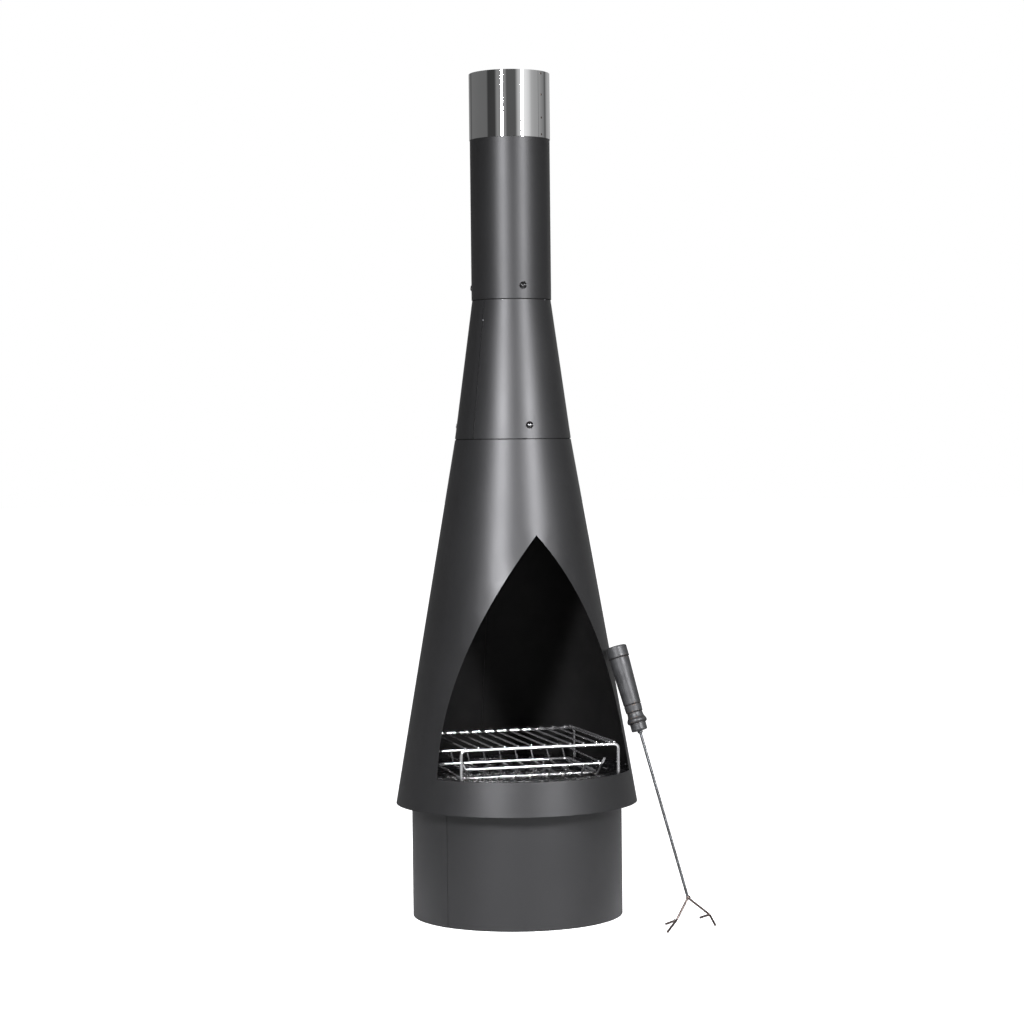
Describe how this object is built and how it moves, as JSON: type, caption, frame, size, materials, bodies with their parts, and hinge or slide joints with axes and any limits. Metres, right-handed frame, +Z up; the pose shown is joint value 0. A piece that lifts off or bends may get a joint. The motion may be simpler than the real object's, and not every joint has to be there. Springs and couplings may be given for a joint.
{
  "type": "chiminea",
  "caption": "Tall tapering sheet-steel chiminea on a round base, with a pointed-arch opening, stepped flue with a bright ring, cooking rack, charcoal grate and a leaning poker.",
  "frame": {"origin": "centre of the round base at the ground", "axes": "+Z up along the flue; the arched opening faces -Y; +X is to the right of someone facing the opening"},
  "size_m": [0.4698, 0.4641, 1.4],
  "materials": {
    "black_paint": "satin high-temperature paint",
    "hearth_paint": "gloss",
    "bright_trim": "polished",
    "black_fastener": "satin",
    "chromed_wire": "polished",
    "turned_wood": "grey paint over turned wood",
    "tool_steel": "drawn steel"
  },
  "bodies": {
    "root": {"base_ring": "black_paint", "base_brackets": "black_paint", "bracket_screws": "black_fastener", "bracket_nuts": "black_fastener", "hearth_bowl": "hearth_paint", "main_cone": "black_paint", "middle_cone": "black_paint", "cone_screws": "black_fastener", "cone_nuts": "black_fastener", "flue_pipe": "black_paint", "pipe_screws": "black_fastener", "pipe_nuts": "black_fastener", "flue_ring": "bright_trim"},
    "rack": {"rack_front_frame": "chromed_wire", "rack_rear_frame": "chromed_wire", "rack_wires": "chromed_wire"},
    "grate": {"grate_bars": "chromed_wire", "grate_loop": "chromed_wire", "grate_front_rim": "chromed_wire", "grate_rear_rim": "chromed_wire", "grate_left_side": "chromed_wire", "grate_right_side": "chromed_wire", "grate_feet": "chromed_wire"},
    "poker": {"poker_handle": "turned_wood", "poker_ferrule": "tool_steel", "poker_rod": "tool_steel", "poker_left_prong": "tool_steel", "poker_right_prong": "tool_steel", "poker_left_tine": "tool_steel", "poker_right_tine": "tool_steel"}
  },
  "joints": [
    {"name": "rack_slide", "type": "slide", "parent": "root", "child": "rack", "axis": [0, -1, 0], "range_m": [0, 0.33]},
    {"name": "grate_lift", "type": "slide", "parent": "root", "child": "grate", "axis": [0, -0.969, 0.247], "range_m": [0, 0.08]},
    {"name": "poker_lift", "type": "slide", "parent": "root", "child": "poker", "axis": [0.3, -0.26, 0.9178], "range_m": [0, 0.5]}
  ]
}
